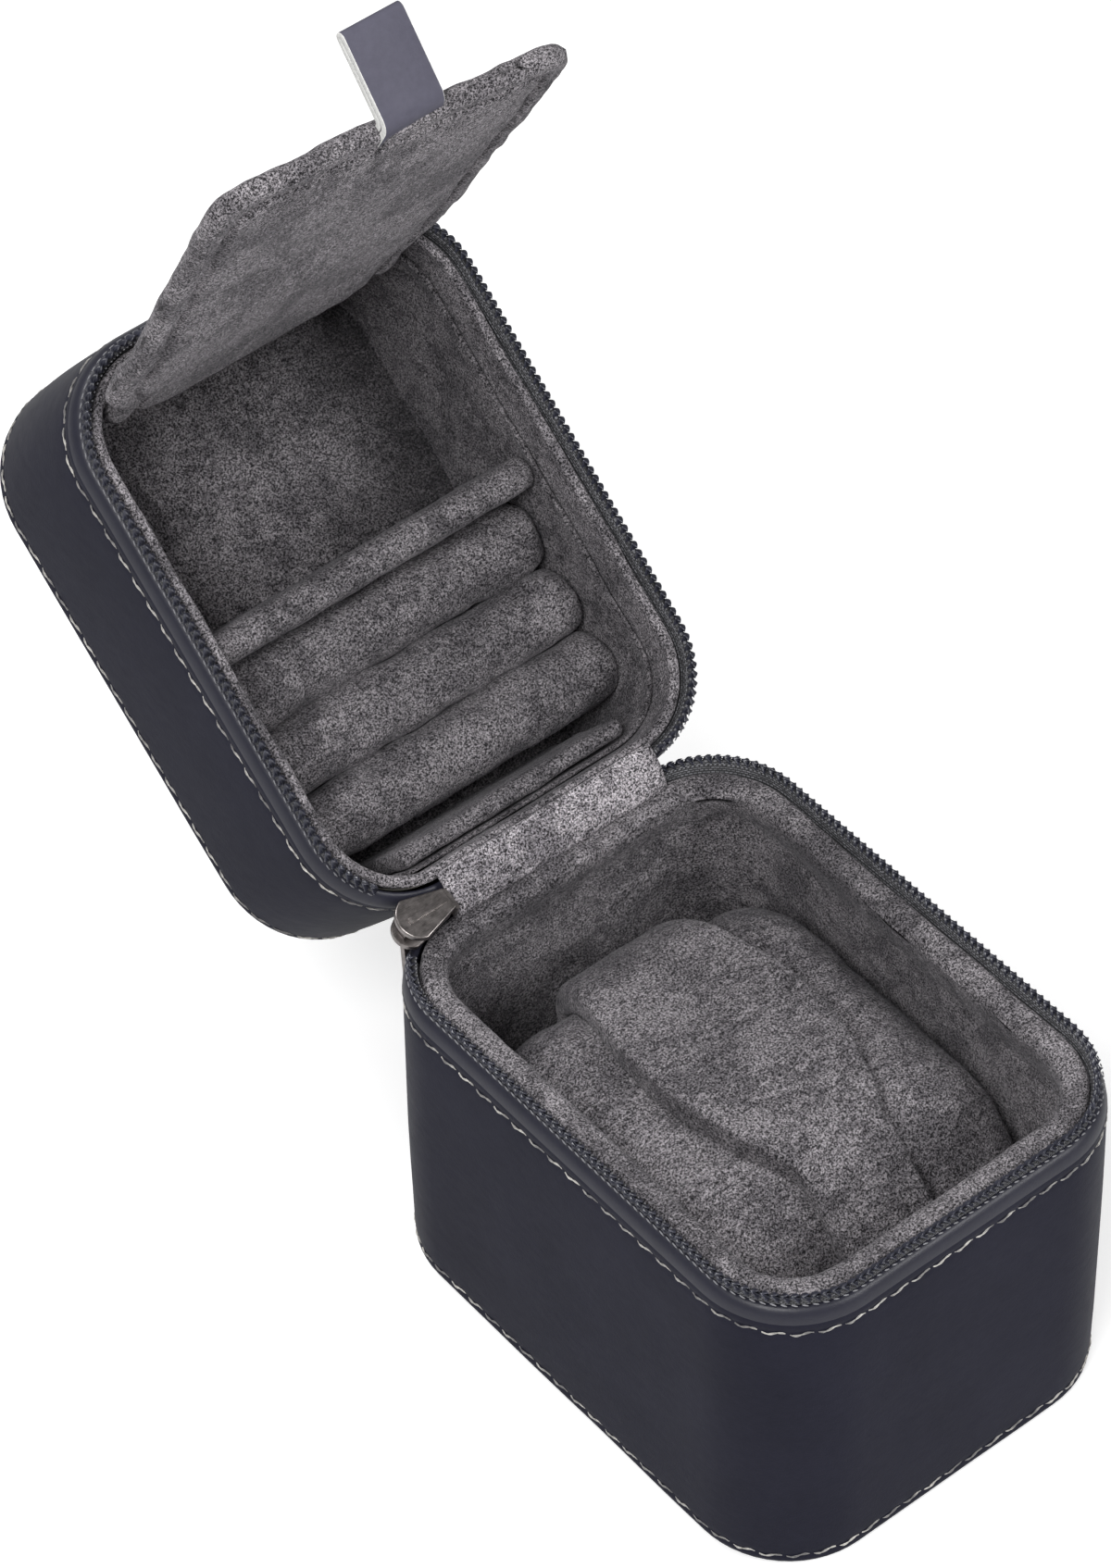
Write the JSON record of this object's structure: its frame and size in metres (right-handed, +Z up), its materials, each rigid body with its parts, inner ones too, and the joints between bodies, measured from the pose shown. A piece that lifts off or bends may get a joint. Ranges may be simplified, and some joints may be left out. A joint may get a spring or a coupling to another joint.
{
  "type": "watch travel case",
  "caption": "Leather-covered travel case with a zip-round lid, a cushion that holds a watch, and a lined lid tray with rolls and a folding flap.",
  "frame": {"origin": "centre of the underside of the base", "axes": "+X along the hinge, to the right as seen from the front; -Y towards the front, +Y towards the hinge; +Z up"},
  "size_m": [0.0684, 0.1807, 0.1799],
  "materials": {
    "leather": "fine-grained navy leather",
    "suede": "grey microsuede",
    "cushion": "grey microsuede over foam",
    "wadding": "thin foam",
    "board": "grey board",
    "tape": "woven zip tape",
    "coil": "nylon coil",
    "nickel": "antique nickel plate"
  },
  "bodies": {
    "base": {"base_bottom_leather": "leather", "base_side_leather": "leather", "base_wadding": "wadding", "base_board_walls": "board", "base_board_floor": "board", "base_lining_wall": "suede", "base_lining_floor": "suede", "base_zip_tape": "tape", "base_zip_coil": "coil", "hinge_leather": "leather", "hinge_lining": "suede"},
    "cushion": {"cushion_pillow": "cushion", "cushion_saddle": "cushion"},
    "lid": {"lid_side_leather": "leather", "lid_top_leather": "leather", "lid_wadding": "wadding", "lid_board": "board", "lid_lining_wall": "suede", "lid_lining_roof": "suede", "lid_zip_tape": "tape", "lid_zip_coil": "coil", "lid_tray": "suede", "lid_divider": "suede", "lid_roll_1": "cushion", "lid_roll_2": "cushion", "lid_roll_3": "cushion", "lid_back_piping": "suede", "lid_flap_strip": "suede"},
    "flap": {"flap_board": "board", "flap_cover": "suede", "pull_tab": "leather"},
    "zip_end": {"zip_slider": "nickel", "zip_chain_end": "coil", "zip_stop": "nickel"},
    "bail": {"zip_bail": "nickel"},
    "puller": {"zip_puller": "nickel"}
  },
  "joints": [
    {"name": "lid_hinge", "type": "hinge", "parent": "base", "child": "lid", "pos_m": [0, 0.04439, 0.06258], "axis": [1, 0, 0], "range_deg": [0, 140.86], "deforming": ["hinge_leather", "hinge_lining", "pull_tab"]},
    {"name": "flap_hinge", "type": "hinge", "parent": "lid", "child": "flap", "pos_m": [0, 0.10942, 0.11097], "axis": [1, 0, 0], "range_deg": [0, 97]},
    {"name": "cushion_lift", "type": "slide", "parent": "base", "child": "cushion", "axis": [0, 0, 1], "range_m": [0, 0.009]},
    {"name": "zip_fold", "type": "hinge", "parent": "base", "child": "zip_end", "pos_m": [0, 0.04544, 0.06407], "axis": [1, 0, 0], "range_deg": [0, 70.43]},
    {"name": "bail_hang", "type": "hinge", "parent": "zip_end", "child": "bail", "pos_m": [0, 0.04308, 0.05913], "axis": [1, 0, 0], "range_deg": [-70.43, 0]},
    {"name": "puller_swing", "type": "hinge", "parent": "bail", "child": "puller", "pos_m": [0, 0.04608, 0.05753], "axis": [1, 0, 0], "range_deg": [0, 35]}
  ],
  "couplings": [
    {"joint": "flap_hinge", "follows": "lid_hinge", "ratio": 0.6886},
    {"joint": "zip_fold", "follows": "lid_hinge", "ratio": 0.4999},
    {"joint": "bail_hang", "follows": "lid_hinge", "ratio": -0.4999}
  ]
}
